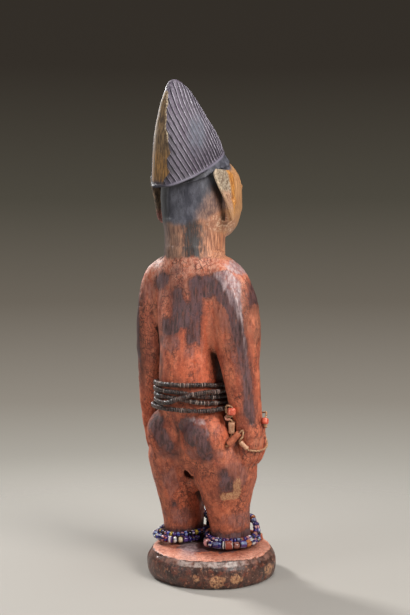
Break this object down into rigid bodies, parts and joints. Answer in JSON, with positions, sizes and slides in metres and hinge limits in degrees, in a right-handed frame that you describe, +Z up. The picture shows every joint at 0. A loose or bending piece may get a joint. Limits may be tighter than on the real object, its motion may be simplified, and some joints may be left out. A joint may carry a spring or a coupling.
{
  "type": "ibeji figure",
  "caption": "Standing carved wooden twin figure with tall conical fluted coiffure, arms at the sides and a round base, wearing bead strings at waist, ankles and one wrist.",
  "frame": {"origin": "centre of the round base's underside", "axes": "+Z up, -Y the way the figure faces, +X the figure's left"},
  "size_m": [0.0859, 0.0793, 0.283],
  "materials": {
    "wood": "handled hardwood with caked red camwood powder on the body, blue-grey dye on the coiffure and worn ochre on the ears",
    "disc_beads": "thin dark coconut or palm shell discs, dull with worn edges; matte_plastic stands in for shell",
    "blue_seed_beads": "opaque dark blue glass seed beads with some white and red ones",
    "mixed_beads": "opaque glass beads, reddish brown, striped and blue",
    "thread": "twisted tan thread",
    "coral": "rounded red coral, softly polished",
    "pink_bead": "opaque dull pink glass disc",
    "pale_tube": "worn tan tubular bead",
    "orange_tube": "polished orange-red tubular bead"
  },
  "bodies": {
    "root": {"figure": "wood", "waist_strand_1": "disc_beads", "waist_strand_2": "disc_beads", "waist_strand_3": "disc_beads", "waist_strand_4": "disc_beads", "waist_strand_5": "disc_beads", "ankle_string_left": "blue_seed_beads", "ankle_string_right": "mixed_beads", "wrist_thread": "thread", "wrist_coral_inner": "coral", "wrist_disc": "pink_bead", "wrist_tube_upper": "pale_tube", "wrist_tube_orange": "orange_tube", "wrist_tube_lower": "pale_tube", "wrist_coral_outer": "coral"}
  },
  "joints": []
}
